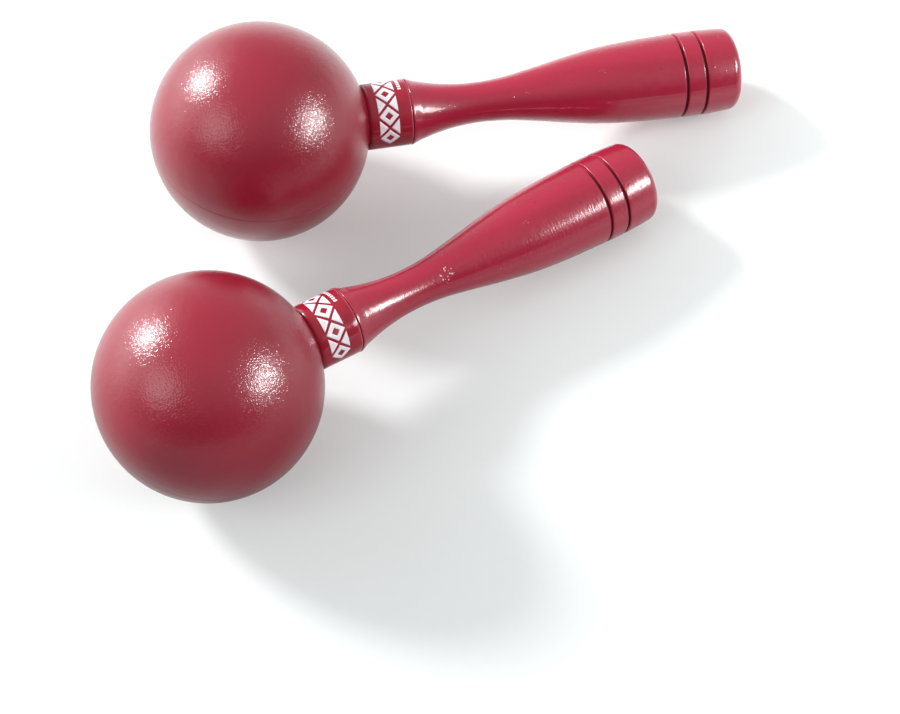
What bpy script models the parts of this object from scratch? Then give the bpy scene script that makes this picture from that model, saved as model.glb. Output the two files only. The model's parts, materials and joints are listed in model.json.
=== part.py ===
"""A pair of maracas lying on a table.

Each maraca is two moulded half shells, a turned handle whose tenon is glued into the collar,
a printed band round the collar, and loose pellets inside the ball.

The row frame is +Z up with the table at z = 0 and the origin under the middle of the pair.
A maraca's own frame has its origin at the ball's centre and +Z towards the ball's pole, so
the handle runs along -Z. Distances along the handle are counted from the ball's centre.
"""

import math

import bmesh
import bpy
import numpy as np
from mathutils import Matrix, Vector

# Driving dimensions. Lengths are in millimetres and angles in degrees.
MM = 0.001
FIT_GAP = 0.3                    # clearance between pieces that touch

BALL_RADIUS = 40.0
BALL_WALL = 2.0
COLLAR_RADIUS = 11.85
COLLAR_END = 54.8                # where the collar stops and the handle's shoulder starts
COLLAR_FILLET = 0.8
SOCKET_RADIUS = 9.5

LAP_DEPTH = 1.4                  # height of the lap that joins the two halves

TENON_RADIUS = SOCKET_RADIUS - FIT_GAP
TENON_START = 37.5
TENON_CHAMFER = 0.8
SHOULDER_RADIUS = 12.3
HANDLE_OUTLINE = (               # (distance along the handle, radius) on the turned grip
    (58.4, 11.05), (64.0, 9.56), (70.0, 8.37), (80.0, 7.48), (92.0, 8.03),
    (104.0, 9.97), (116.0, 12.2), (128.0, 14.1), (142.0, 15.25), (156.0, 15.75),
)
RING_PLACES = (159.2, 166.9)     # middles of the two turned grooves
RING_WIDTH = 1.2
RING_DEPTH = 0.9
BUTT_RADIUS = 15.9
BUTT_END = 181.3
BUTT_ROUNDING = 3.5

BAND_START = 39.0
BAND_THICKNESS = 0.22

PELLET_RADIUS = 2.2
PELLETS_PER_HEAD = 24
PELLET_SPREAD = 3.05             # sets the spacing of the resting pellets

BALL_SEGMENTS = 36
HANDLE_SEGMENTS = 24
ARC_STEP = 12.0                  # largest turn of the ball's outline between two points

# (name, ball centre x, ball centre y, heading of the handle, roll about the handle)
LAYOUT = (
    ("maraca_a", -59.05, 51.22, 8.65, 0.0),
    ("maraca_b", -81.05, -53.58, 28.3, -20.0),
)

HEAD_COLOUR = (0.42, 0.018, 0.045, 1.0)
WOOD_COLOUR = (0.50, 0.015, 0.050, 1.0)
FILM_COLOUR = (0.36, 0.010, 0.025, 1.0)
PELLET_COLOUR = (0.75, 0.70, 0.58, 1.0)


def resting_slope():
    """Angle by which the handle drops, so that the ball and the butt's edge both touch the table."""
    along = BUTT_END - BUTT_ROUNDING
    aside = BUTT_RADIUS - BUTT_ROUNDING
    reach = math.hypot(along, aside)
    drop = math.asin((BALL_RADIUS - BUTT_ROUNDING) / reach)
    return drop - math.atan2(aside, along)


SLOPE = resting_slope()


# Outlines. Every outline is a list of (radius, height) points in a maraca's own frame.

def arc(radius, first, last, centre=(0.0, 0.0), step=ARC_STEP):
    """Points of a round stretch, with angles in degrees counted from +radius towards +height."""
    count = max(2, math.ceil(abs(last - first) / step) + 1)
    angles = np.radians(np.linspace(first, last, count))
    return [(centre[0] + radius * math.cos(a), centre[1] + radius * math.sin(a)) for a in angles]


def fillet_centre(ball_radius, tube_radius, fillet):
    """Centre of the round that joins a ball to the tube below it."""
    across = tube_radius + fillet
    return across, -math.sqrt((ball_radius + fillet) ** 2 - across ** 2)


def ball_and_tube(ball_radius, tube_radius, fillet, end):
    """Outer outline from the ball's pole down to the end of the tube."""
    centre = fillet_centre(ball_radius, tube_radius, fillet)
    meet = math.degrees(math.atan2(centre[1], centre[0]))
    table_contact = -math.degrees(SLOPE)
    upper = arc(ball_radius, 90.0, table_contact)
    lower = arc(ball_radius, table_contact, meet)
    blend = arc(fillet, meet + 180.0, 180.0, centre, step=40.0)
    outline = upper[1:] + lower[1:] + blend[1:]
    return [(0.0, ball_radius)] + outline + [(tube_radius, -end)]


def smooth_radius(points, spacing):
    """Points on a smooth curve through the given (distance, radius) points."""
    distance = np.array([p[0] for p in points])
    radius = np.array([p[1] for p in points])
    slope = np.gradient(radius, distance)
    count = math.ceil((distance[-1] - distance[0]) / spacing) + 1
    result = []
    for here in np.linspace(distance[0], distance[-1], count):
        index = min(int(np.searchsorted(distance, here, side="right")) - 1, len(points) - 2)
        span = distance[index + 1] - distance[index]
        t = (here - distance[index]) / span
        value = ((1 + 2 * t) * (1 - t) ** 2 * radius[index]
                 + t * (1 - t) ** 2 * span * slope[index]
                 + t * t * (3 - 2 * t) * radius[index + 1]
                 + t * t * (t - 1) * span * slope[index + 1])
        result.append((float(here), float(value)))
    return result


def shell_outline():
    """Wall of the whole head, from the outer pole round the collar's mouth to the inner pole."""
    outer = ball_and_tube(BALL_RADIUS, COLLAR_RADIUS, COLLAR_FILLET, COLLAR_END)
    inner_radius = BALL_RADIUS - BALL_WALL
    socket_angle = -math.degrees(math.acos(SOCKET_RADIUS / inner_radius))
    inner = arc(inner_radius, socket_angle, 90.0)
    return outer + [(SOCKET_RADIUS, -COLLAR_END)] + inner[:-1] + [(0.0, inner_radius)]


def core_outline(offset):
    """Solid whose surface lies in the middle of the head's wall, moved out by an offset."""
    ball = BALL_RADIUS - BALL_WALL / 2 + offset
    tube = (COLLAR_RADIUS + SOCKET_RADIUS) / 2 + offset
    beyond = COLLAR_END + 2.0
    return ball_and_tube(ball, tube, COLLAR_FILLET, beyond) + [(0.0, -beyond)]


def ring_outline(middle):
    """A turned groove with a flat bottom and leaning walls."""
    half_top = RING_WIDTH / 2
    half_bottom = RING_WIDTH / 3
    bottom = BUTT_RADIUS - RING_DEPTH
    return [
        (BUTT_RADIUS, middle - half_top),
        (bottom, middle - half_bottom),
        (bottom, middle + half_bottom),
        (BUTT_RADIUS, middle + half_top),
    ]


def handle_outline():
    """Turned handle from the tenon's end inside the ball to the flat of the butt."""
    tenon_top = COLLAR_END + FIT_GAP
    points = [
        (0.0, TENON_START),
        (TENON_RADIUS - TENON_CHAMFER, TENON_START),
        (TENON_RADIUS, TENON_START + TENON_CHAMFER),
        (TENON_RADIUS, tenon_top),
        (SHOULDER_RADIUS, tenon_top),
    ]
    points += [(radius, here) for here, radius in smooth_radius(HANDLE_OUTLINE, 7.0)]
    for middle in RING_PLACES:
        points += ring_outline(middle)
    corner = (BUTT_RADIUS - BUTT_ROUNDING, -(BUTT_END - BUTT_ROUNDING))
    down = [(radius, -here) for radius, here in points]
    return down + arc(BUTT_ROUNDING, 0.0, -90.0, corner, step=25.0) + [(0.0, -BUTT_END)]


def band_outline():
    """Thin film round the collar, as a closed loop."""
    inside = COLLAR_RADIUS + FIT_GAP
    outside = inside + BAND_THICKNESS
    return [
        (outside, -BAND_START),
        (outside, -COLLAR_END),
        (inside, -COLLAR_END),
        (inside, -BAND_START),
    ]


# Blender helpers

def clear_scene():
    for old in list(bpy.data.objects):
        bpy.data.objects.remove(old, do_unlink=True)


def new_collection(name):
    collection = bpy.data.collections.new(name)
    bpy.context.scene.collection.children.link(collection)
    return collection


def plain_material(name, colour, roughness, metallic=0.0):
    material = bpy.data.materials.new(name)
    material.use_nodes = True
    shader = material.node_tree.nodes["Principled BSDF"]
    shader.inputs["Base Color"].default_value = colour
    shader.inputs["Roughness"].default_value = roughness
    shader.inputs["Metallic"].default_value = metallic
    material.diffuse_color = colour
    return material


def add_empty(name, collection, matrix, parent=None):
    empty = bpy.data.objects.new(name, None)
    collection.objects.link(empty)
    empty.parent = parent
    empty.matrix_local = matrix
    return empty


def turned(name, outline, segments, collection, parent, closed=False):
    """Solid of revolution about the parent's Z axis."""
    mesh = bpy.data.meshes.new(name)
    points = [(radius * MM, 0.0, height * MM) for radius, height in outline]
    edges = [(i, i + 1) for i in range(len(points) - 1)]
    if closed:
        edges.append((len(points) - 1, 0))
    mesh.from_pydata(points, edges, [])
    piece = bpy.data.objects.new(name, mesh)
    collection.objects.link(piece)
    piece.parent = parent
    screw = piece.modifiers.new("turn", "SCREW")
    screw.axis = "Z"
    screw.steps = segments
    screw.render_steps = segments
    screw.use_merge_vertices = True
    screw.merge_threshold = 0.00001
    screw.use_smooth_shade = True
    return piece


def hide_cutter(piece):
    piece.hide_render = True
    piece.display_type = "WIRE"


def add_boolean(piece, operation, other):
    modifier = piece.modifiers.new(operation.lower(), "BOOLEAN")
    modifier.operation = operation
    modifier.solver = "EXACT"
    modifier.object = other


def half_space(name, collection, parent, edge):
    """Large box that fills everything on the +X side of a plane in the parent's frame."""
    size = 4 * BALL_RADIUS
    bpy.ops.mesh.primitive_cube_add(size=1.0)
    box = bpy.context.active_object
    box.name = name
    for owner in list(box.users_collection):
        owner.objects.unlink(box)
    collection.objects.link(box)
    box.parent = parent
    box.data.transform(Matrix.Diagonal((size * MM, size * MM, size * MM, 1.0)))
    box.location = ((edge + size / 2) * MM, 0.0, 0.0)
    hide_cutter(box)
    return box


# Sub-parts

def lap_cutter(name, collection, parent, edge, lip, offset):
    """Everything above the seam, with the inner layer of the wall reaching down to the lip."""
    core = turned(name + "_core", core_outline(offset), BALL_SEGMENTS, collection, parent)
    hide_cutter(core)
    add_boolean(core, "INTERSECT", half_space(name + "_lip", collection, parent, lip))
    cutter = half_space(name, collection, parent, edge)
    add_boolean(cutter, "UNION", core)
    return cutter


def head_halves(name, parts, cutters, seam, material):
    """Two half shells that meet on a plane through the handle's axis, with a lap at the seam."""
    half_gap = FIT_GAP / 2
    keep = lap_cutter(name + "_keep", cutters, seam, half_gap, -LAP_DEPTH, -half_gap)
    remove = lap_cutter(name + "_remove", cutters, seam, -half_gap, -LAP_DEPTH - FIT_GAP, half_gap)
    upper = turned(name + "_head_upper_half", shell_outline(), BALL_SEGMENTS, parts, seam)
    add_boolean(upper, "INTERSECT", keep)
    lower = turned(name + "_head_lower_half", shell_outline(), BALL_SEGMENTS, parts, seam)
    add_boolean(lower, "DIFFERENCE", remove)
    for half in (upper, lower):
        half.data.materials.append(material)


def handle(name, parts, frame, material):
    piece = turned(name + "_handle", handle_outline(), HANDLE_SEGMENTS, parts, frame)
    piece.data.materials.append(material)


def collar_band(name, parts, frame, material):
    outline = band_outline()
    piece = turned(name + "_collar_band", outline, BALL_SEGMENTS, parts, frame, closed=True)
    piece.data.materials.append(material)


def pellet_mesh(material):
    mesh = bpy.data.meshes.new("pellet")
    shape = bmesh.new()
    bmesh.ops.create_icosphere(shape, subdivisions=2, radius=PELLET_RADIUS * MM)
    shape.to_mesh(mesh)
    shape.free()
    mesh.shade_smooth()
    mesh.materials.append(material)
    return mesh


def pellet_places():
    """Resting places in one layer on the bottom of the ball, wound out as a sunflower spiral."""
    golden_angle = math.pi * (3.0 - math.sqrt(5.0))
    reach = BALL_RADIUS - BALL_WALL - PELLET_RADIUS - FIT_GAP - 0.2
    places = []
    for index in range(PELLETS_PER_HEAD):
        radius = PELLET_SPREAD * math.sqrt(index + 0.5)
        angle = index * golden_angle
        depth = math.sqrt(reach ** 2 - radius ** 2)
        places.append((radius * math.cos(angle), radius * math.sin(angle), -depth))
    return places


def pellets(name, parts, centre, mesh):
    for index, place in enumerate(pellet_places(), start=1):
        piece = bpy.data.objects.new(f"{name}_pellet_{index:02d}", mesh)
        parts.objects.link(piece)
        piece.parent = centre
        piece.location = Vector(place) * MM


def build():
    clear_scene()
    parts = new_collection("maracas")
    cutters = new_collection("cutters")
    plastic = plain_material("head_plastic", HEAD_COLOUR, 0.38)
    wood = plain_material("lacquered_wood", WOOD_COLOUR, 0.18)
    film = plain_material("printed_film", FILM_COLOUR, 0.25)
    bead = plain_material("pellet_plastic", PELLET_COLOUR, 0.4)
    mesh = pellet_mesh(bead)
    for name, x, y, heading, roll in LAYOUT:
        place = Vector((x, y, BALL_RADIUS)) * MM
        centre = add_empty(name + "_centre", parts, Matrix.Translation(place))
        lie_down = (Matrix.Rotation(math.radians(heading), 4, "Z")
                    @ Matrix.Rotation(SLOPE - math.pi / 2, 4, "Y"))
        axis = add_empty(name + "_axis", parts, lie_down, centre)
        seam = add_empty(name + "_seam", parts, Matrix.Rotation(math.radians(roll), 4, "Z"), axis)
        head_halves(name, parts, cutters, seam, plastic)
        handle(name, parts, axis, wood)
        collar_band(name, parts, axis, film)
        pellets(name, parts, centre, mesh)


build()
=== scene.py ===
"""Looks of a pair of red maracas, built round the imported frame.

Each maraca is made in its own frame: the origin is the ball's centre, +Z points to the ball's
pole and the handle runs along -Z, and +X is the upward side while the maraca lies on the table.
Shapes are in millimetres until a mesh is made. Materials, lights and the camera use metres.
Angles are written in degrees.
"""

import json
import math
import random

import bmesh
import bpy
import numpy as np
from mathutils import Matrix, Vector, noise


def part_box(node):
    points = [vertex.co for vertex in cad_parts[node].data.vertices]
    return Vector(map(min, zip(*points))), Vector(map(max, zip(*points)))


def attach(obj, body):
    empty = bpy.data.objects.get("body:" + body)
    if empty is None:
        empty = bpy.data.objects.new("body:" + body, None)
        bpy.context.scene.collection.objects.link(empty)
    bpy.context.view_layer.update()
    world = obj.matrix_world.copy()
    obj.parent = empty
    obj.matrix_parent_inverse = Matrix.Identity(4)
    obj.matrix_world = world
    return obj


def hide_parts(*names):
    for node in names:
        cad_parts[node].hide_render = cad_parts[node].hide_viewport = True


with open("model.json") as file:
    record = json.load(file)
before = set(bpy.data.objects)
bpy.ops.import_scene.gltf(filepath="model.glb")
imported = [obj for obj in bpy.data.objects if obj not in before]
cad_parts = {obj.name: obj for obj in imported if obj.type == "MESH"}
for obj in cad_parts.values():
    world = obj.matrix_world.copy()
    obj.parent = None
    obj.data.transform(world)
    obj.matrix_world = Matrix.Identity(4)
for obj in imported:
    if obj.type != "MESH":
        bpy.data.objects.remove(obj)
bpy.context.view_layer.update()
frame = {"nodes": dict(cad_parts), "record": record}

MM = 0.001
MERGE_DISTANCE = 0.0005          # points closer than this become one, in millimetres

# Shape of a maraca, as in the CAD
BALL_RADIUS = 40.0
BALL_WALL = 2.0
COLLAR_RADIUS = 11.85
COLLAR_FILLET = 0.8
SOCKET_RADIUS = 9.5
TENON_RADIUS = 9.2
TENON_START = 37.5
TENON_CHAMFER = 0.8
HANDLE_START = 55.1
SHOULDER_RADIUS = 12.3
HANDLE_OUTLINE = (               # distance from the ball's centre, and radius
    (58.4, 11.05), (64.0, 9.56), (70.0, 8.37), (80.0, 7.48), (92.0, 8.03),
    (104.0, 9.97), (116.0, 12.2), (128.0, 14.1), (142.0, 15.25), (156.0, 15.75),
)
RING_PLACES = (159.2, 166.9)
RING_WIDTH = 1.2
RING_DEPTH = 0.9
BUTT_RADIUS = 15.9
BUTT_END = 181.3
BUTT_ROUNDING = 3.5
PELLET_RADIUS = 2.2

# Finer shapes that only the looks have
MOUTH_END = HANDLE_START - 0.1
MOUTH_ROUND = 0.2
SHOULDER_ROUNDING = 0.3
GRIP_EASE = 6.0                  # length over which the grip reaches the butt's radius
TAPER_START = 166.0
BUTT_TAPER = 0.5
GROOVE_SIDE = (                  # distance inside the groove's edge, depth, and whether it is dark
    (-0.35, 0.0, False), (-0.2, 0.02, False), (-0.08, 0.08, False), (0.0, 0.2, False),
    (0.1, 0.45, True), (0.2, RING_DEPTH - 0.1, True), (0.32, RING_DEPTH, True),
)
BAND_START = 38.5
BAND_END = 54.85
BAND_THICKNESS = 0.22
BAND_GAP = 0.12
BAND_RADIUS = COLLAR_RADIUS + BAND_GAP + BAND_THICKNESS

# Fineness of the meshes
BALL_ROWS = 130
FILLET_ROWS = 8
COLLAR_ROWS = 10
MOUTH_ROWS = 6
BAND_ROWS = 8
BUTT_ROWS = 12
SHOULDER_STEP = 15
BUTT_STEP = 5
ROW_SPACING = 0.7
TURN_COLUMNS = 160

# Roll of each head's parting plane about the handle, where its printed row starts, and the
# seed of its handle's lacquer
ROLL = {"maraca_a": 0.0, "maraca_b": -20.0}
PRINT_START = {"maraca_a": -80.8, "maraca_b": -80.7}
LACQUER_SEED = {"maraca_a": 11, "maraca_b": 23}


def placement(name):
    """World matrix of a maraca's own frame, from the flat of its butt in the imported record."""
    mount = next(m for m in frame["record"]["mounts"] if m["name"] == "butt_" + name[-1])
    handle = Vector(mount["axis"]).normalized()
    centre = Vector(mount["pos_m"]) - handle * BUTT_END * MM
    pole = -handle
    side = pole.cross(Vector((0.0, 0.0, 1.0))).normalized()
    up = side.cross(pole)
    turn = Matrix((up, side, pole)).transposed().to_4x4()
    return Matrix.Translation(centre) @ turn


# Outlines of the head, as lists of (radius, height) points

def arc(radius, first, last, count, centre=(0.0, 0.0)):
    angles = np.radians(np.linspace(first, last, count))
    return [(centre[0] + radius * math.cos(a), centre[1] + radius * math.sin(a)) for a in angles]


def line(start, end, count):
    """Points from start to end, without the start."""
    steps = [i / count for i in range(1, count + 1)]
    return [(start[0] + (end[0] - start[0]) * t, start[1] + (end[1] - start[1]) * t) for t in steps]


def shell_outer():
    """Outside of the head from the pole to the collar's mouth."""
    across = COLLAR_RADIUS + COLLAR_FILLET
    centre = (across, -math.sqrt((BALL_RADIUS + COLLAR_FILLET) ** 2 - across ** 2))
    meet = math.degrees(math.atan2(centre[1], centre[0]))
    ball = arc(BALL_RADIUS, 90.0, meet, BALL_ROWS)
    blend = arc(COLLAR_FILLET, meet + 180.0, 180.0, FILLET_ROWS, centre)
    rim = (COLLAR_RADIUS - MOUTH_ROUND, -MOUTH_END + MOUTH_ROUND)
    collar = line(blend[-1], (COLLAR_RADIUS, rim[1]), COLLAR_ROWS)
    edge = arc(MOUTH_ROUND, 0.0, -90.0, MOUTH_ROWS, rim)
    return ball + blend[1:] + collar + edge[1:]


def shell_inner(rows):
    """Inside of the head from the pole to the collar's mouth, with the given number of points."""
    radius = BALL_RADIUS - BALL_WALL
    corner = -math.degrees(math.acos(SOCKET_RADIUS / radius))
    ball = arc(radius, 90.0, corner, rows - COLLAR_ROWS)
    return ball + line(ball[-1], (SOCKET_RADIUS, -MOUTH_END), COLLAR_ROWS)


# Outline of the handle, as (distance, radius, dark) rows

def undecorated(points):
    """Rows outside the grooves, from (distance, radius) points."""
    return [(here, radius, False) for here, radius in points]


def quarter_turn(step):
    """Angles from 0 to 90 degrees, in radians."""
    return [math.radians(angle) for angle in range(0, 91, step)]


def smooth_radius(points, spacing):
    """Points on a smooth curve through the given (distance, radius) points."""
    distance = np.array([p[0] for p in points])
    radius = np.array([p[1] for p in points])
    slope = np.gradient(radius, distance)
    count = math.ceil((distance[-1] - distance[0]) / spacing) + 1
    result = []
    for here in np.linspace(distance[0], distance[-1], count):
        index = min(int(np.searchsorted(distance, here, side="right")) - 1, len(points) - 2)
        span = distance[index + 1] - distance[index]
        t = (here - distance[index]) / span
        value = ((1 + 2 * t) * (1 - t) ** 2 * radius[index]
                 + t * (1 - t) ** 2 * span * slope[index]
                 + t * t * (3 - 2 * t) * radius[index + 1]
                 + t * t * (t - 1) * span * slope[index + 1])
        result.append((float(here), float(value)))
    return result


def grip_radius(here):
    """Radius of the grip between its last curve point and the butt, which tapers in a little."""
    start, radius = HANDLE_OUTLINE[-1]
    t = min(1.0, (here - start) / GRIP_EASE)
    taper = max(0.0, (here - TAPER_START) / (BUTT_END - BUTT_ROUNDING - TAPER_START))
    return radius + (BUTT_RADIUS - radius) * t - BUTT_TAPER * taper ** 2


def tenon_rows():
    """The tenon from the middle of its end, over its chamfer, to the shoulder."""
    return undecorated([
        (TENON_START, 0.0),
        (TENON_START, TENON_RADIUS - TENON_CHAMFER),
        (TENON_START + TENON_CHAMFER, TENON_RADIUS),
        (HANDLE_START, TENON_RADIUS),
    ])


def shoulder_rows():
    """The rounded shoulder beside the collar, and a cone from it towards the grip's curve."""
    points = []
    for a in quarter_turn(SHOULDER_STEP):
        here = HANDLE_START + SHOULDER_ROUNDING - SHOULDER_ROUNDING * math.cos(a)
        points.append((here, SHOULDER_RADIUS - SHOULDER_ROUNDING + SHOULDER_ROUNDING * math.sin(a)))
    cone = line(points[-1], HANDLE_OUTLINE[0], 4)
    return undecorated(points + cone[:-1])


def plain_rows(start, end):
    """The grip between two grooves, or beside one."""
    count = max(2, math.ceil((end - start) / ROW_SPACING))
    stops = [start + (end - start) * i / count for i in range(1, count + 1)]
    return undecorated([(here, grip_radius(here)) for here in stops])


def groove_rows(middle):
    """A turned groove: rounded lips, leaning walls and a dark floor."""
    half = RING_WIDTH / 2
    near = [(middle - half + inside, depth, dark) for inside, depth, dark in GROOVE_SIDE]
    far = [(middle + half - inside, depth, dark) for inside, depth, dark in reversed(GROOVE_SIDE)]
    return [(here, grip_radius(here) - depth, dark) for here, depth, dark in near + far]


def butt_rows():
    """The butt's rounded edge and its flat end."""
    flat = BUTT_RADIUS - BUTT_TAPER - BUTT_ROUNDING
    points = []
    for a in quarter_turn(BUTT_STEP):
        here = BUTT_END - BUTT_ROUNDING + BUTT_ROUNDING * math.sin(a)
        points.append((here, flat + BUTT_ROUNDING * math.cos(a)))
    points += [(BUTT_END, flat * (1 - t / BUTT_ROWS)) for t in range(1, BUTT_ROWS + 1)]
    return undecorated(points)


def handle_rows():
    """The whole handle, from the tenon's end to the middle of the butt."""
    rows = tenon_rows() + shoulder_rows()
    rows += undecorated(smooth_radius(HANDLE_OUTLINE, ROW_SPACING))
    last = HANDLE_OUTLINE[-1][0]
    for middle in RING_PLACES:
        rows += plain_rows(last, middle - RING_WIDTH)
        rows += groove_rows(middle)
        last = middle + RING_WIDTH
    return rows + plain_rows(last, BUTT_END - BUTT_ROUNDING) + butt_rows()


# Mesh makers

def finish_mesh(name, shape, matrix, *materials):
    """Turns a bmesh in millimetres into a smooth object whose vertices are in the row's frame.

    The point attribute "place" keeps each vertex's position in the maraca's own frame, in
    metres, and the materials take their patterns from it.
    """
    bmesh.ops.remove_doubles(shape, verts=shape.verts, dist=MERGE_DISTANCE)
    bmesh.ops.recalc_face_normals(shape, faces=shape.faces)
    bmesh.ops.scale(shape, verts=shape.verts, vec=(MM, MM, MM))
    mesh = bpy.data.meshes.new(name)
    shape.to_mesh(mesh)
    shape.free()
    places = np.empty(len(mesh.vertices) * 3, dtype=np.float32)
    mesh.vertices.foreach_get("co", places)
    mesh.attributes.new("place", "FLOAT_VECTOR", "POINT").data.foreach_set("vector", places)
    mesh.transform(matrix)
    mesh.shade_smooth()
    for material in materials:
        mesh.materials.append(material)
    piece = bpy.data.objects.new(name, mesh)
    bpy.context.scene.collection.objects.link(piece)
    return piece


def add_grid(shape, points, wrap=False):
    """Quads over a 2-D array of points. Returns the vertices in the same arrangement."""
    verts = [[shape.verts.new(p) for p in row] for row in points]
    columns = len(points[0])
    for upper, lower in zip(verts[:-1], verts[1:]):
        for j in range(columns if wrap else columns - 1):
            k = (j + 1) % columns
            shape.faces.new((upper[j], lower[j], lower[k], upper[k]))
    return verts


def turned_points(outline, angles, warp=None):
    """Points of a turned surface. warp(radius, angle) is how far a point stands off the outline."""
    rows = []
    for radius, height in outline:
        row = []
        for angle in angles:
            here = radius if warp is None else radius + warp(radius, angle)
            row.append((here * math.cos(angle), here * math.sin(angle), height))
        rows.append(row)
    return rows


def full_turn(count):
    return [2 * math.pi * i / count for i in range(count)]


# Head halves

SEAM_DEPTH = 0.11
SEAM_HALF_WIDTH = 0.24
SEAM_OFFSET = 0.02
SEAM_ANGLES = (0.0, 0.06, 0.12, 0.2, 0.3, 0.5, 0.8, 1.2, 1.8, 2.6)
PLAIN_START = 4.0
PLAIN_COLUMNS = 116


def seam_dip(radius, angle):
    """How far the outside sinks beside the parting line."""
    aside = abs(radius * math.cos(angle))
    if aside >= SEAM_HALF_WIDTH:
        return 0.0
    return -SEAM_DEPTH * (1.0 - aside / SEAM_HALF_WIDTH) ** 2


def half_angles():
    """Angles across a half shell, close together beside the parting line."""
    plain = list(np.linspace(PLAIN_START, 180.0 - PLAIN_START, PLAIN_COLUMNS))
    degrees = list(SEAM_ANGLES) + plain + [180.0 - a for a in reversed(SEAM_ANGLES)]
    return [math.radians(a - 90.0) for a in degrees]


def head_half(name, matrix, upper, material):
    """One moulded half of the ball and collar: outside, inside and the faces at the seam."""
    angles = half_angles()
    outer = shell_outer()
    inner = shell_inner(len(outer))
    shape = bmesh.new()
    outside = add_grid(shape, turned_points(outer, angles, seam_dip))
    inside = add_grid(shape, turned_points(inner, angles))
    for edge in (0, -1):
        for i in range(len(outer) - 1):
            corners = (outside[i][edge], outside[i + 1][edge], inside[i + 1][edge], inside[i][edge])
            shape.faces.new(corners)
    for j in range(len(angles) - 1):
        shape.faces.new((outside[-1][j], outside[-1][j + 1], inside[-1][j + 1], inside[-1][j]))
    bmesh.ops.translate(shape, verts=shape.verts, vec=(SEAM_OFFSET, 0.0, 0.0))
    turn = Matrix.Rotation(0.0 if upper else math.pi, 4, "Z")
    return finish_mesh(name, shape, matrix @ turn, material)


# Handles

LACQUER_START = HANDLE_START + 0.5
LACQUER_INNER = 2.0              # the butt's middle stays flat inside this radius
WAVE_SIZE = 9.0
WAVE_HEIGHT = 0.05
RIPPLE_SIZE = 2.2
RIPPLE_HEIGHT = 0.012
RIPPLE_SEED_STEP = 7.0
WAVE_SQUEEZE = 0.4               # the waves are stretched along the handle by its inverse
LUMP_COUNT = 70
LUMP_PLACES = (60.0, 178.0)
LUMP_SIZES = (0.35, 0.9)
LUMP_HEIGHTS = (0.015, 0.05)
LUMP_SIGNS = (-1, 1, 1)
LUMP_REACH = 3                   # a lump ends at this many times its size


def wavy(point, size, seed):
    """Smooth noise from -1 to 1."""
    return noise.noise(Vector(point) / size + Vector((seed, seed, seed)))


def lacquer_lumps(seed):
    """Small lumps and dents in the lacquer: (distance, angle, size, height)."""
    draw = random.Random(seed)
    lumps = []
    for _ in range(LUMP_COUNT):
        distance = draw.uniform(*LUMP_PLACES)
        size = draw.uniform(*LUMP_SIZES)
        height = draw.choice(LUMP_SIGNS) * draw.uniform(*LUMP_HEIGHTS)
        lumps.append((distance, draw.uniform(0.0, 2 * math.pi), size, height))
    return lumps


def lump_height(lumps, here, angle, radius):
    total = 0.0
    for distance, centre, size, height in lumps:
        along = here - distance
        if abs(along) > LUMP_REACH * size:
            continue
        across = ((angle - centre + math.pi) % (2 * math.pi) - math.pi) * radius
        if abs(across) > LUMP_REACH * size:
            continue
        total += height * math.exp(-(along * along + across * across) / (size * size))
    return total


def lacquered_radius(here, radius, angle, seed, lumps):
    """Radius of the handle with the lacquer's slow waves, fine ripples and lumps."""
    point = (radius * math.cos(angle), radius * math.sin(angle), here * WAVE_SQUEEZE)
    waves = WAVE_HEIGHT * wavy(point, WAVE_SIZE, seed)
    ripples = RIPPLE_HEIGHT * wavy(point, RIPPLE_SIZE, seed + RIPPLE_SEED_STEP)
    return radius + (waves + ripples) + lump_height(lumps, here, angle, radius)


def handle_points(rows, seed):
    lumps = lacquer_lumps(seed)
    points = []
    for here, radius, dark in rows:
        lacquered = here > LACQUER_START and not dark and radius > LACQUER_INNER
        row = []
        for angle in full_turn(TURN_COLUMNS):
            r = lacquered_radius(here, radius, angle, seed, lumps) if lacquered else radius
            row.append((r * math.cos(angle), r * math.sin(angle), -here))
        points.append(row)
    return points


def handle_piece(name, matrix, seed, lacquer, groove):
    """The turned handle. The dark parts of its rings have the groove material."""
    rows = handle_rows()
    shape = bmesh.new()
    add_grid(shape, handle_points(rows, seed), wrap=True)
    shape.faces.ensure_lookup_table()
    for i, (row, following) in enumerate(zip(rows[:-1], rows[1:])):
        if row[2] and following[2]:
            for j in range(TURN_COLUMNS):
                shape.faces[i * TURN_COLUMNS + j].material_index = 1
    return finish_mesh(name, shape, matrix, lacquer, groove)


# Films and their print

BAND_EDGE = COLLAR_RADIUS + 0.02
BAND_BEVEL = 0.06                # length of the steep part at each end of the film
BALL_END_DROP = 0.06
HANDLE_END_DROP = 0.05
BAND_FLAT = 0.25                 # where the film has its full radius, from each end
PRINT_LIFT = 0.005
PRINT_MIDDLE = 46.0
PRINT_HEIGHT = 7.4
PRINT_PITCH = 20.5
PRINT_COUNT = 9
PRINT_GAP = 1.2
DIAMOND_PITCHES = 1.62           # width of a diamond, in pitches
TRIANGLE_PITCHES = 1.42
PIERCED = 0.42                   # size of the hole in a diamond beside the diamond
CLOSED = 0.02                    # the same in a shape that looks whole
BAR_COUNT = 8
BAR_START = 19.2
BAR_PITCH = 1.3
BAR_MIDDLE = 51.7
BAR_WIDTH = 0.85
BAR_HEIGHT = 1.25
INK = 0.03


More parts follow.
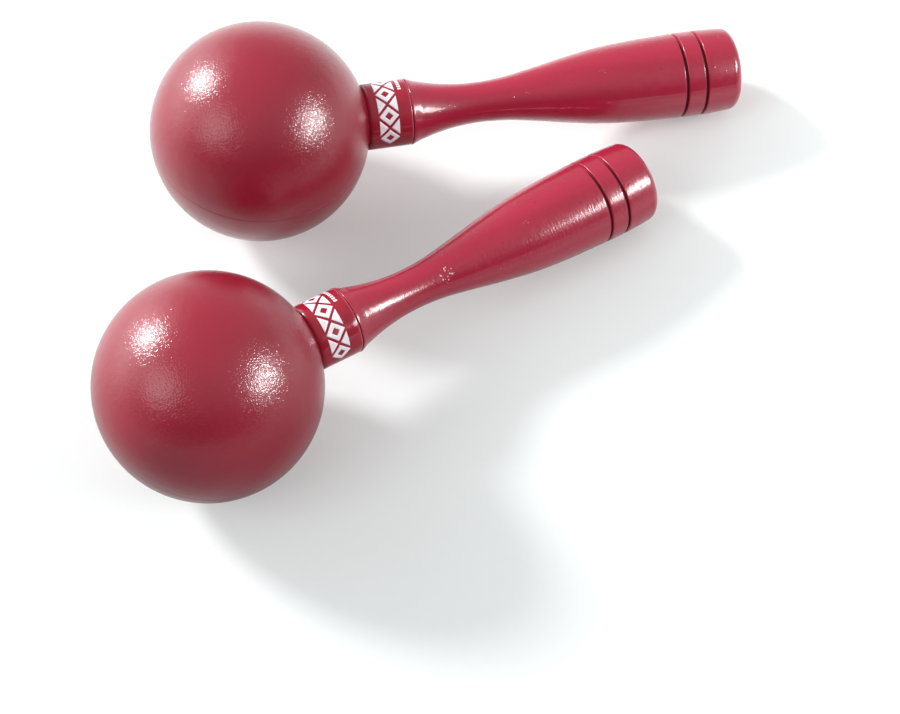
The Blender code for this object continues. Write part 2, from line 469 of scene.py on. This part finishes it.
def band_piece(name, matrix, material):
    """The clear film round the collar. Its edges lie down on the collar."""
    outline = [(BAND_EDGE, -BAND_START), (BAND_RADIUS - BALL_END_DROP, -BAND_START - BAND_BEVEL)]
    flat_start = (BAND_RADIUS, -BAND_START - BAND_FLAT)
    outline += line(flat_start, (BAND_RADIUS, -BAND_END + BAND_FLAT), BAND_ROWS)
    outline += [(BAND_RADIUS - HANDLE_END_DROP, -BAND_END + BAND_BEVEL), (BAND_EDGE, -BAND_END)]
    outline += outline[:1]
    shape = bmesh.new()
    add_grid(shape, turned_points(outline, full_turn(TURN_COLUMNS)), wrap=True)
    return finish_mesh(name, shape, matrix, material)


def on_band(across, along):
    """Point on the film: across in millimetres round the collar, along from the ball's centre."""
    radius = BAND_RADIUS + PRINT_LIFT
    angle = across / radius
    return (radius * math.cos(angle), radius * math.sin(angle), -along)


def outline_of(corners, steps=12):
    """Closed outline with extra points along its straight sides."""
    points = []
    for start, end in zip(corners, corners[1:] + corners[:1]):
        points += line(start, end, steps)
    return points


def diamond(width, height):
    x, y = width / 2, height / 2
    return outline_of([(x, 0.0), (0.0, y), (-x, 0.0), (0.0, -y)])


def triangle(width, height):
    """Triangle round its own middle. A negative height points the other way."""
    return outline_of([(0.0, -height * 2 / 3), (width / 2, height / 3), (-width / 2, height / 3)])


def bar(width, height):
    x, y = width / 2, height / 2
    return outline_of([(x, y), (-x, y), (-x, -y), (x, -y)], steps=4)


def add_ink(shape, outline, hole, centre, rows=4):
    """Ink between an outline and a smaller copy of it round its middle."""
    layers = []
    for k in range(rows + 1):
        size = 1.0 + (hole - 1.0) * k / rows
        layers.append([on_band(centre[0] + x * size, centre[1] + y * size) for x, y in outline])
    add_grid(shape, layers, wrap=True)


def add_harlequin(shape, first):
    """Pierced diamonds between pairs of triangles."""
    pitch = math.radians(PRINT_PITCH) * BAND_RADIUS
    tall = (PRINT_HEIGHT - PRINT_GAP) / 2
    for k in range(PRINT_COUNT):
        centre = first + k * pitch
        if k % 2 == 0:
            outline = diamond(DIAMOND_PITCHES * pitch, PRINT_HEIGHT)
            add_ink(shape, outline, PIERCED, (centre, PRINT_MIDDLE))
            continue
        for side in (-1.0, 1.0):
            middle = PRINT_MIDDLE + side * (PRINT_GAP / 2 + tall * 2 / 3)
            outline = triangle(TRIANGLE_PITCHES * pitch, side * tall)
            add_ink(shape, outline, CLOSED, (centre, middle))


def add_bars(shape, first):
    """A row of short bars."""
    for k in range(BAR_COUNT):
        centre = first + BAR_START + k * BAR_PITCH
        add_ink(shape, bar(BAR_WIDTH, BAR_HEIGHT), CLOSED, (centre, BAR_MIDDLE))


def print_piece(name, matrix, start, material):
    """The white print on a film, which starts at the given angle."""
    shape = bmesh.new()
    first = math.radians(start) * BAND_RADIUS
    add_harlequin(shape, first)
    add_bars(shape, first)
    piece = finish_mesh(name, shape, matrix, material)
    solid = piece.modifiers.new("ink", "SOLIDIFY")
    solid.thickness = INK * MM
    solid.offset = 1.0
    return piece


# Pellets

PELLET_SHRINK = 0.06
PELLET_TURN_SEED = 5
RIDGE_HEIGHT = 0.03
RIDGE_WIDTH = 0.04
NUB_PLACE = Vector((0.0, 1.0, 0.0))
NUB_HEIGHT = 0.09
NUB_WIDTH = 0.16
UNEVEN_HEIGHT = 0.03
UNEVEN_SIZE = 0.8
UNEVEN_SEED = 3.0


def pellet_shape(material):
    """A moulded bead: slightly uneven, with a faint parting ridge and a gate nub."""
    shape = bmesh.new()
    bmesh.ops.create_icosphere(shape, subdivisions=4, radius=PELLET_RADIUS)
    for vert in shape.verts:
        unit = vert.co.normalized()
        ridge = RIDGE_HEIGHT * math.exp(-(unit.z / RIDGE_WIDTH) ** 2)
        nub = NUB_HEIGHT * math.exp(-((unit - NUB_PLACE).length / NUB_WIDTH) ** 2)
        uneven = UNEVEN_HEIGHT * wavy(unit, UNEVEN_SIZE, UNEVEN_SEED)
        vert.co = unit * (PELLET_RADIUS - PELLET_SHRINK + ridge + nub + uneven)
    piece = finish_mesh("pellet_master", shape, Matrix.Identity(4), material)
    mesh = piece.data
    bpy.data.objects.remove(piece)
    return mesh


# Node makers. They return the socket to link from, apart from add_node and new_material.

def new_material(name):
    material = bpy.data.materials.new(name)
    material.use_nodes = True
    tree = material.node_tree
    return material, tree, tree.nodes["Principled BSDF"]


def add_node(tree, kind, **values):
    node = tree.nodes.new(kind)
    for key, value in values.items():
        if key in node.inputs:
            node.inputs[key].default_value = value
        else:
            setattr(node, key, value)
    return node


def set_inputs(node, **values):
    """Sets a node's own values. Each key is an input's name in small letters and underscores."""
    names = {socket.name.lower().replace(" ", "_"): socket for socket in node.inputs}
    for key, value in values.items():
        names[key].default_value = value


def grey(value):
    return (value, value, value)


def surface_place(tree):
    """Position in the maraca's own frame, in metres."""
    return add_node(tree, "ShaderNodeAttribute", attribute_name="place").outputs["Vector"]


def place_noise(tree, scale, detail, stretch=(1.0, 1.0, 1.0)):
    """Noise that is fixed to the piece's surface."""
    mapping = add_node(tree, "ShaderNodeMapping", Scale=stretch)
    tree.links.new(surface_place(tree), mapping.inputs["Vector"])
    texture = add_node(tree, "ShaderNodeTexNoise", Scale=scale, Detail=detail)
    tree.links.new(mapping.outputs["Vector"], texture.inputs["Vector"])
    return texture.outputs["Fac"]


def ramp(tree, source, *stops):
    """Colour that goes through (source value, colour) stops."""
    node = tree.nodes.new("ShaderNodeValToRGB")
    elements = node.color_ramp.elements
    while len(elements) < len(stops):
        elements.new(0.5)
    for element, (position, colour) in zip(elements, stops):
        element.position = position
        element.color = (*colour, 1.0)
    tree.links.new(source, node.inputs["Fac"])
    return node.outputs["Color"]


def drift(tree, source, first, second):
    """Colour that drifts between two with a noise."""
    return ramp(tree, source, (0.3, first), (0.7, second))


def mask(tree, source, low, high, full=1.0):
    """Grey that goes from 0 to full while the source goes from low to high."""
    return ramp(tree, source, (low, grey(0.0)), (high, grey(full)))


def remap(tree, source, low, high, **values):
    """Number that goes from 0 to 1, or between values, while the source goes from low to high."""
    limits = {"From Min": low, "From Max": high}
    node = add_node(tree, "ShaderNodeMapRange", **limits, **values)
    tree.links.new(source, node.inputs["Value"])
    return node.outputs["Result"]


def measure(tree, operation, source, other=(0.0, 0.0, 0.0)):
    """Number that a vector operation gives for the source and a fixed vector."""
    node = add_node(tree, "ShaderNodeVectorMath", operation=operation)
    node.inputs[1].default_value = other
    tree.links.new(source, node.inputs[0])
    return node.outputs["Value"]


def component(tree, source, axis):
    node = tree.nodes.new("ShaderNodeSeparateXYZ")
    tree.links.new(source, node.inputs["Vector"])
    return node.outputs[axis]


def added(tree, first, second):
    node = add_node(tree, "ShaderNodeMath", operation="ADD")
    tree.links.new(first, node.inputs[0])
    tree.links.new(second, node.inputs[1])
    return node.outputs["Value"]


def mixed(tree, factor, first, second):
    """Colour mix. first and second are sockets or colours."""
    node = add_node(tree, "ShaderNodeMix", data_type="RGBA")
    tree.links.new(factor, node.inputs["Factor"])
    for key, value in (("A", first), ("B", second)):
        socket = next(s for s in node.inputs if s.name == key and s.type == "RGBA")
        if isinstance(value, tuple):
            socket.default_value = (*value, 1.0)
        else:
            tree.links.new(value, socket)
    return next(s for s in node.outputs if s.type == "RGBA")


def bump(tree, height, strength, distance, under=None):
    """Normal with a bump on it. under is the normal of the bumps beneath."""
    node = add_node(tree, "ShaderNodeBump", Strength=strength, Distance=distance)
    tree.links.new(height, node.inputs["Height"])
    if under is not None:
        tree.links.new(under, node.inputs["Normal"])
    return node.outputs["Normal"]


# Materials

# Pale flecks on the lacquer: partly chips, partly painted glints where light catches small dents.
CHIP_AND_GLINT_COLOUR = (0.85, 0.70, 0.68)
CHIP_AND_GLINT_CORE = 0.6                  # share of the flecks' reach where they are thickest
CHIP_AND_GLINT_PUSH = 0.22
PINHOLE_COLOUR = (0.10, 0.006, 0.010)
GROOVE_LIT_COLOUR = (0.36, 0.011, 0.04)
GROOVE_LIT_SIDE = (0.6, 0.8, 0.0)    # side of the handle that faces the light, where the rings show red; elsewhere they are dark from residue and painted shade
GROOVE_LIT_REACH = (0.0098, 0.0128)
FILM_EDGE_HIGHLIGHT_COLOUR = (0.60, 0.16, 0.19)
FILM_EDGE_HIGHLIGHT_REACH = (0.4, 0.15)          # where the painted highlight along the film's end edge starts and is full, from the film's end

# What differs between the handles' lacquers
LACQUERS = {
    "maraca_a": {
        "name": "lacquered_wood", "tool_depth": 0.00002, "haze": 0.08,
        "chips_and_glints_at": (0.0067, -0.0049, -0.0708), "reach": 0.002,
    },
    "maraca_b": {
        "name": "worn_lacquered_wood", "tool_depth": 0.00009, "haze": 0.15,
        "chips_and_glints_at": (0.0070, -0.0047, -0.0940), "reach": 0.0045,
    },
}


def head_plastic():
    """Crimson moulded plastic: a soft sheen, and a sharper gloss broken up by fine grain."""
    material, tree, shader = new_material("head_plastic")
    cloudy = place_noise(tree, scale=35.0, detail=3.0)
    colour = drift(tree, cloudy, (0.250, 0.0058, 0.0215), (0.285, 0.0080, 0.0280))
    tree.links.new(colour, shader.inputs["Base Color"])
    tree.links.new(drift(tree, cloudy, grey(0.33), grey(0.41)), shader.inputs["Roughness"])
    set_inputs(shader, specular_ior_level=0.26, coat_weight=0.75, coat_roughness=0.07)
    peel_noise = place_noise(tree, scale=260.0, detail=2.0)
    orange_peel = bump(tree, peel_noise, strength=0.25, distance=0.0004)
    grain_noise = place_noise(tree, scale=1600.0, detail=1.0)
    grain = bump(tree, grain_noise, strength=1.0, distance=0.00017, under=orange_peel)
    tree.links.new(orange_peel, shader.inputs["Normal"])
    tree.links.new(grain, shader.inputs["Coat Normal"])
    return material


def chipped_and_glinting(tree, colour, centre, reach):
    """The colour with small pale flecks within a few millimetres of one place: partly chips in the
    lacquer and partly painted glints.
    """
    gap = measure(tree, "DISTANCE", surface_place(tree), centre)
    near = remap(tree, gap, reach, CHIP_AND_GLINT_CORE * reach, **{"To Max": CHIP_AND_GLINT_PUSH})
    pushed = added(tree, near, place_noise(tree, scale=1000.0, detail=2.0))
    return mixed(tree, mask(tree, pushed, low=0.83, high=0.85), colour, CHIP_AND_GLINT_COLOUR)


def dotted(tree, colour):
    """The colour with dark pinholes."""
    pinholes = place_noise(tree, scale=1100.0, detail=1.0)
    return mixed(tree, mask(tree, pinholes, low=0.73, high=0.77, full=0.8), colour, PINHOLE_COLOUR)


def lacquer_normal(tree, streaks, tool_depth):
    """Wood streaks, then tool lines, then small raised specks."""
    streaked = bump(tree, streaks, strength=0.15, distance=0.0004)
    tool_lines = place_noise(tree, scale=1300.0, detail=2.0, stretch=(0.3, 0.3, 1.0))
    lined = bump(tree, tool_lines, strength=1.0, distance=tool_depth, under=streaked)
    speck_noise = place_noise(tree, scale=330.0, detail=2.0)
    specks = mask(tree, speck_noise, low=0.71, high=0.75)
    return bump(tree, specks, strength=0.6, distance=0.00025, under=lined)


def lacquered_wood(name, tool_depth, haze, chips_and_glints_at, reach):
    """Crimson gloss lacquer over turned wood, with fine tool lines, pinholes, and pale flecks that
    are partly chips and partly painted glints.
    """
    material, tree, shader = new_material(name)
    streaks = place_noise(tree, scale=120.0, detail=5.0, stretch=(1.0, 1.0, 0.08))
    colour = drift(tree, streaks, (0.325, 0.0085, 0.033), (0.382, 0.0125, 0.045))
    worn_and_glinting = chipped_and_glinting(tree, dotted(tree, colour), chips_and_glints_at, reach)
    tree.links.new(worn_and_glinting, shader.inputs["Base Color"])
    mottle = place_noise(tree, scale=700.0, detail=4.0, stretch=(0.5, 0.5, 1.0))
    shine = ramp(tree, mottle, (0.4, grey(0.28)), (0.7, grey(0.40)))
    tree.links.new(shine, shader.inputs["Roughness"])
    set_inputs(shader, specular_ior_level=0.3, coat_weight=0.75, coat_roughness=haze)
    normal = lacquer_normal(tree, streaks, tool_depth)
    tree.links.new(normal, shader.inputs["Normal"])
    tree.links.new(normal, shader.inputs["Coat Normal"])
    return material


def burnt_groove():
    """Rings in the handle, dark partly from residue and partly from painted shade, and red on the
    side that faces the light.
    """
    material, tree, shader = new_material("burnt_groove")
    grain = place_noise(tree, scale=400.0, detail=4.0)
    colour = drift(tree, grain, (0.085, 0.005, 0.010), (0.15, 0.009, 0.018))
    # Painted shade: the rings keep their red only on the side that faces the light and are dark
    # elsewhere.
    across = measure(tree, "DOT_PRODUCT", surface_place(tree), GROOVE_LIT_SIDE)
    groove_lit = remap(tree, across, *GROOVE_LIT_REACH)
    tree.links.new(mixed(tree, groove_lit, colour, GROOVE_LIT_COLOUR), shader.inputs["Base Color"])
    set_inputs(shader, roughness=0.5, specular_ior_level=0.15)
    normal = bump(tree, grain, strength=0.3, distance=0.0003)
    tree.links.new(normal, shader.inputs["Normal"])
    return material


def printed_film():
    """Glossy clear film over dark red, with a painted highlight as a pale line along its end."""
    material, tree, shader = new_material("printed_film")
    cloudy = place_noise(tree, scale=150.0, detail=4.0)
    colour = drift(tree, cloudy, (0.29, 0.0080, 0.023), (0.35, 0.0125, 0.034))
    # Painted highlight: a pale line along the film's end edge, where light catches it.
    low, high = [-(BAND_END - gap) * MM for gap in FILM_EDGE_HIGHLIGHT_REACH]
    edge_highlight = remap(tree, component(tree, surface_place(tree), "Z"), low, high)
    tree.links.new(mixed(tree, edge_highlight, colour, FILM_EDGE_HIGHLIGHT_COLOUR), shader.inputs["Base Color"])
    set_inputs(shader, roughness=0.15)
    normal = bump(tree, cloudy, strength=0.12, distance=0.0006)
    tree.links.new(normal, shader.inputs["Normal"])
    return material


def mottled(name, patches, first, second, roughness, strength):
    """Simple material that drifts between two colours. Its slight bump is in the same places.

    patches holds the noise's scale and detail.
    """
    material, tree, shader = new_material(name)
    spread = place_noise(tree, **patches)
    tree.links.new(drift(tree, spread, first, second), shader.inputs["Base Color"])
    set_inputs(shader, roughness=roughness)
    normal = bump(tree, spread, strength=strength, distance=0.0002)
    tree.links.new(normal, shader.inputs["Normal"])
    return material


def white_ink():
    """White screen print, a little uneven."""
    return mottled(
        "white_ink", {"scale": 700.0, "detail": 4.0},
        (0.80, 0.77, 0.82), (0.92, 0.90, 0.94), roughness=0.3, strength=0.1)


def pellet_plastic():
    """Ivory moulded beads."""
    return mottled(
        "pellet_plastic", {"scale": 500.0, "detail": 3.0},
        (0.62, 0.55, 0.42), (0.78, 0.72, 0.58), roughness=0.4, strength=0.2)


# Floor

FLOOR_HALF_SIDE = 6000.0         # millimetres. The rest of the floor is in metres.
FLOOR_DEPTH = (-0.13, 0.06)      # Y between which the brightness goes from front to back
FLOOR_AWAY = (0.25, 1.2)         # distances between which it goes to the one far away
FIBRE_CONTRAST = 0.005
BOUNCE_DROP = 0.0003

# Name, brightness in front, behind and far away, glow, and whether the camera sees it. On the board
# that the camera sees, the glow is painted light that lifts its shadows, and the dimming in front
# and far away is a painted falloff of the light.
FLOORS = (
    ("floor", 0.62, 0.78, 0.48, 0.15, True),
    ("floor_bounce", 0.30, 0.80, 0.80, 0.0, False),
)


def cool(value):
    """White of the given brightness with a slight green-blue tint."""
    return (0.965 * value, value, 0.995 * value)


def pale_card(name, front, back, far, glow):
    """Pale card that glows by the given amount. It can be dimmer in front or far away. Where the
    camera sees the card, the glow is painted light that lifts its shadows and the dimming is a
    painted falloff of the light.
    """
    material, tree, shader = new_material(name)
    spot = surface_place(tree)
    depth = remap(tree, component(tree, spot, "Y"), *FLOOR_DEPTH)
    away = remap(tree, measure(tree, "LENGTH", spot), *FLOOR_AWAY)
    fibres = place_noise(tree, scale=300.0, detail=5.0)
    colour = drift(tree, fibres, cool(front - FIBRE_CONTRAST), cool(front + FIBRE_CONTRAST))
    shaded = mixed(tree, depth, colour, cool(back))
    tree.links.new(mixed(tree, away, shaded, cool(far)), shader.inputs["Base Color"])
    set_inputs(shader, roughness=0.9, specular_ior_level=0.1)
    set_inputs(shader, emission_color=(1.0, 1.0, 1.0, 1.0), emission_strength=glow)
    return material


def add_floor():
    """The pale board that the camera sees, and one under it that lights the maracas.

    A real sheet of card ends close to the object on the camera's side and throws back less
    light there than an endless one. The board below stands for that.
    """
    for name, front, back, far, glow, seen in FLOORS:
        shape = bmesh.new()
        bmesh.ops.create_grid(shape, x_segments=8, y_segments=8, size=FLOOR_HALF_SIDE)
        drop = Matrix.Translation((0.0, 0.0, 0.0 if seen else -BOUNCE_DROP))
        floor = finish_mesh(name, shape, drop, pale_card(name, front, back, far, glow))
        floor.visible_camera = seen
        floor.visible_diffuse = not seen
        floor.visible_glossy = not seen
        floor.visible_shadow = not seen


# Camera

CAMERA_TARGET = Vector((0.0024, -0.0277, 0.0))
CAMERA_DISTANCE = 0.8612
CAMERA_ELEVATION = 60.09
CAMERA_ROLL = -5.3
CAMERA_LENS = 94.88
CAMERA_SENSOR = 36.0
CAMERA_NEAR = 0.01


def add_camera():
    elevation = math.radians(CAMERA_ELEVATION)
    roll = math.radians(CAMERA_ROLL)
    back = Vector((0.0, -math.cos(elevation), math.sin(elevation)))
    right = Vector((1.0, 0.0, 0.0))
    up = back.cross(right)
    tilted_right = math.cos(roll) * right + math.sin(roll) * up
    tilted_up = back.cross(tilted_right)
    turn = Matrix((tilted_right, tilted_up, back)).transposed().to_4x4()
    data = bpy.data.cameras.new("camera")
    data.lens = CAMERA_LENS
    data.sensor_width = CAMERA_SENSOR
    data.clip_start = CAMERA_NEAR
    camera = bpy.data.objects.new("camera", data)
    bpy.context.scene.collection.objects.link(camera)
    camera.matrix_world = Matrix.Translation(CAMERA_TARGET + back * CAMERA_DISTANCE) @ turn
    bpy.context.scene.camera = camera


# Lights

SOFTBOX_DISTANCE = 2.0


def towards(azimuth, elevation):
    """Unit vector, for angles in degrees with the azimuth from +X towards +Y."""
    turn = math.radians(azimuth)
    rise = math.radians(elevation)
    level = math.cos(rise)
    return Vector((math.cos(turn) * level, math.sin(turn) * level, math.sin(rise)))


def add_lamp(data, azimuth, elevation, distance):
    lamp = bpy.data.objects.new(data.name, data)
    bpy.context.scene.collection.objects.link(lamp)
    direction = towards(azimuth, elevation)
    turn = direction.to_track_quat("Z", "Y").to_matrix().to_4x4()
    lamp.matrix_world = Matrix.Translation(direction * distance) @ turn
    lamp.visible_camera = False
    return lamp


def add_sun(name, azimuth, elevation, spread, strength):
    data = bpy.data.lights.new(name, "SUN")
    data.angle = math.radians(spread)
    data.energy = strength
    add_lamp(data, azimuth, elevation, distance=0.0)


def add_softbox(name, azimuth, elevation, size, power, lights_matt):
    """Softbox that shows in gloss, and lights matt surfaces only if told to."""
    data = bpy.data.lights.new(name, "AREA")
    data.shape = "RECTANGLE"
    data.size, data.size_y = size
    data.energy = power
    add_lamp(data, azimuth, elevation, SOFTBOX_DISTANCE).visible_diffuse = lights_matt


def add_lights():
    add_sun("key", azimuth=143.5, elevation=31.0, spread=12.0, strength=3.1)
    add_softbox(
        "fill", azimuth=-15.0, elevation=28.0, size=(1.1, 0.45), power=24.0, lights_matt=True)
    add_softbox(
        "fill_core", azimuth=-12.0, elevation=26.0, size=(0.4, 0.3), power=20.0, lights_matt=False)
    add_sun("front_softbox", azimuth=205.0, elevation=42.0, spread=34.0, strength=0.75)


# Surroundings

# Colours of the sky by the height of the direction, on the far side and on the camera's side
FAR_SKY = ((0.0, (0.80, 0.82, 0.82)), (0.25, (0.57, 0.59, 0.59)), (0.7, (0.54, 0.56, 0.56)))
NEAR_SKY = ((0.0, (0.04, 0.04, 0.04)), (0.35, (0.12, 0.12, 0.12)), (0.9, (0.60, 0.62, 0.62)))
SKY_CHANGE = (-0.7, -0.05)       # Y of the direction between which near changes to far
GLOW_PLACE = towards(146.0, 16.0)
GLOW_EDGE = (0.72, 0.97)         # cosines of the angles to the glow's edge and to its full part
GLOW_STRENGTH = 4.0
BACKDROP = (0.80, 0.81, 0.81, 1.0)


def sky_colour(tree, direction):
    """Pale all round, and darker low down on the camera's side."""
    height = component(tree, direction, "Z")
    change = remap(tree, component(tree, direction, "Y"), *SKY_CHANGE)
    return mixed(tree, change, ramp(tree, height, *NEAR_SKY), ramp(tree, height, *FAR_SKY))


def sky_strength(tree, direction):
    """1 all round, with a soft glow low on the key light's side."""
    aim = measure(tree, "DOT_PRODUCT", direction, GLOW_PLACE)
    values = {"To Min": 1.0, "To Max": GLOW_STRENGTH, "interpolation_type": "SMOOTHSTEP"}
    return remap(tree, aim, *GLOW_EDGE, **values)


def add_world():
    """The studio that lights the maracas, and a plain backdrop that only the camera sees."""
    world = bpy.data.worlds.new("studio")
    world.use_nodes = True
    tree = world.node_tree
    direction = tree.nodes.new("ShaderNodeTexCoord").outputs["Generated"]
    studio = tree.nodes["Background"]
    tree.links.new(sky_colour(tree, direction), studio.inputs["Color"])
    tree.links.new(sky_strength(tree, direction), studio.inputs["Strength"])
    backdrop = add_node(tree, "ShaderNodeBackground", Color=BACKDROP)
    path = tree.nodes.new("ShaderNodeLightPath")
    seen = tree.nodes.new("ShaderNodeMixShader")
    tree.links.new(path.outputs["Is Camera Ray"], seen.inputs["Fac"])
    tree.links.new(studio.outputs["Background"], seen.inputs[1])
    tree.links.new(backdrop.outputs["Background"], seen.inputs[2])
    tree.links.new(seen.outputs["Shader"], tree.nodes["World Output"].inputs["Surface"])
    bpy.context.scene.world = world


# The maracas

def make_looks():
    """Materials by the part that they are for."""
    looks = {"plastic": head_plastic()}
    for name, values in LACQUERS.items():
        looks[name] = lacquered_wood(**values)
    looks["groove"] = burnt_groove()
    looks["film"] = printed_film()
    looks["ink"] = white_ink()
    return looks


def place(piece, body, slot, *nodes):
    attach(piece, body)
    if nodes:
        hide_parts(*nodes)


def make_maraca(name, looks):
    matrix = placement(name)
    seam = matrix @ Matrix.Rotation(math.radians(ROLL[name]), 4, "Z")
    for side, upper in (("upper", True), ("lower", False)):
        half = head_half(f"{name}_head_{side}_shell", seam, upper, looks["plastic"])
        place(half, name, "head_plastic", f"{name}_head_{side}_half")
    handle = handle_piece(
        f"{name}_turned_handle", matrix, LACQUER_SEED[name], looks[name], looks["groove"])
    place(handle, name, "lacquered_wood", f"{name}_handle")
    band = band_piece(f"{name}_film", matrix, looks["film"])
    place(band, name, "printed_film", f"{name}_collar_band")
    row = print_piece(f"{name}_print", matrix, PRINT_START[name], looks["ink"])
    place(row, name, "printed_film")


def make_pellets(mesh):
    """One bead for each pellet node, each turned its own way."""
    draw = random.Random(PELLET_TURN_SEED)
    for node in sorted(n for n in frame["nodes"] if "_pellet_" in n):
        low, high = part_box(node)
        centre = (Vector(low) + Vector(high)) / 2
        bead = bpy.data.objects.new(node + "_bead", mesh)
        bpy.context.scene.collection.objects.link(bead)
        turn = Matrix.Rotation(draw.uniform(0.0, math.tau), 4, "X")
        turn = turn @ Matrix.Rotation(draw.uniform(0.0, math.tau), 4, "Z")
        bead.matrix_world = Matrix.Translation(centre) @ turn
        place(bead, node, "pellet_plastic", node)


add_camera()
add_lights()
add_world()
bpy.context.scene.view_settings.view_transform = "Standard"
add_floor()
looks = make_looks()
for maraca in ("maraca_a", "maraca_b"):
    make_maraca(maraca, looks)
make_pellets(pellet_shape(pellet_plastic()))
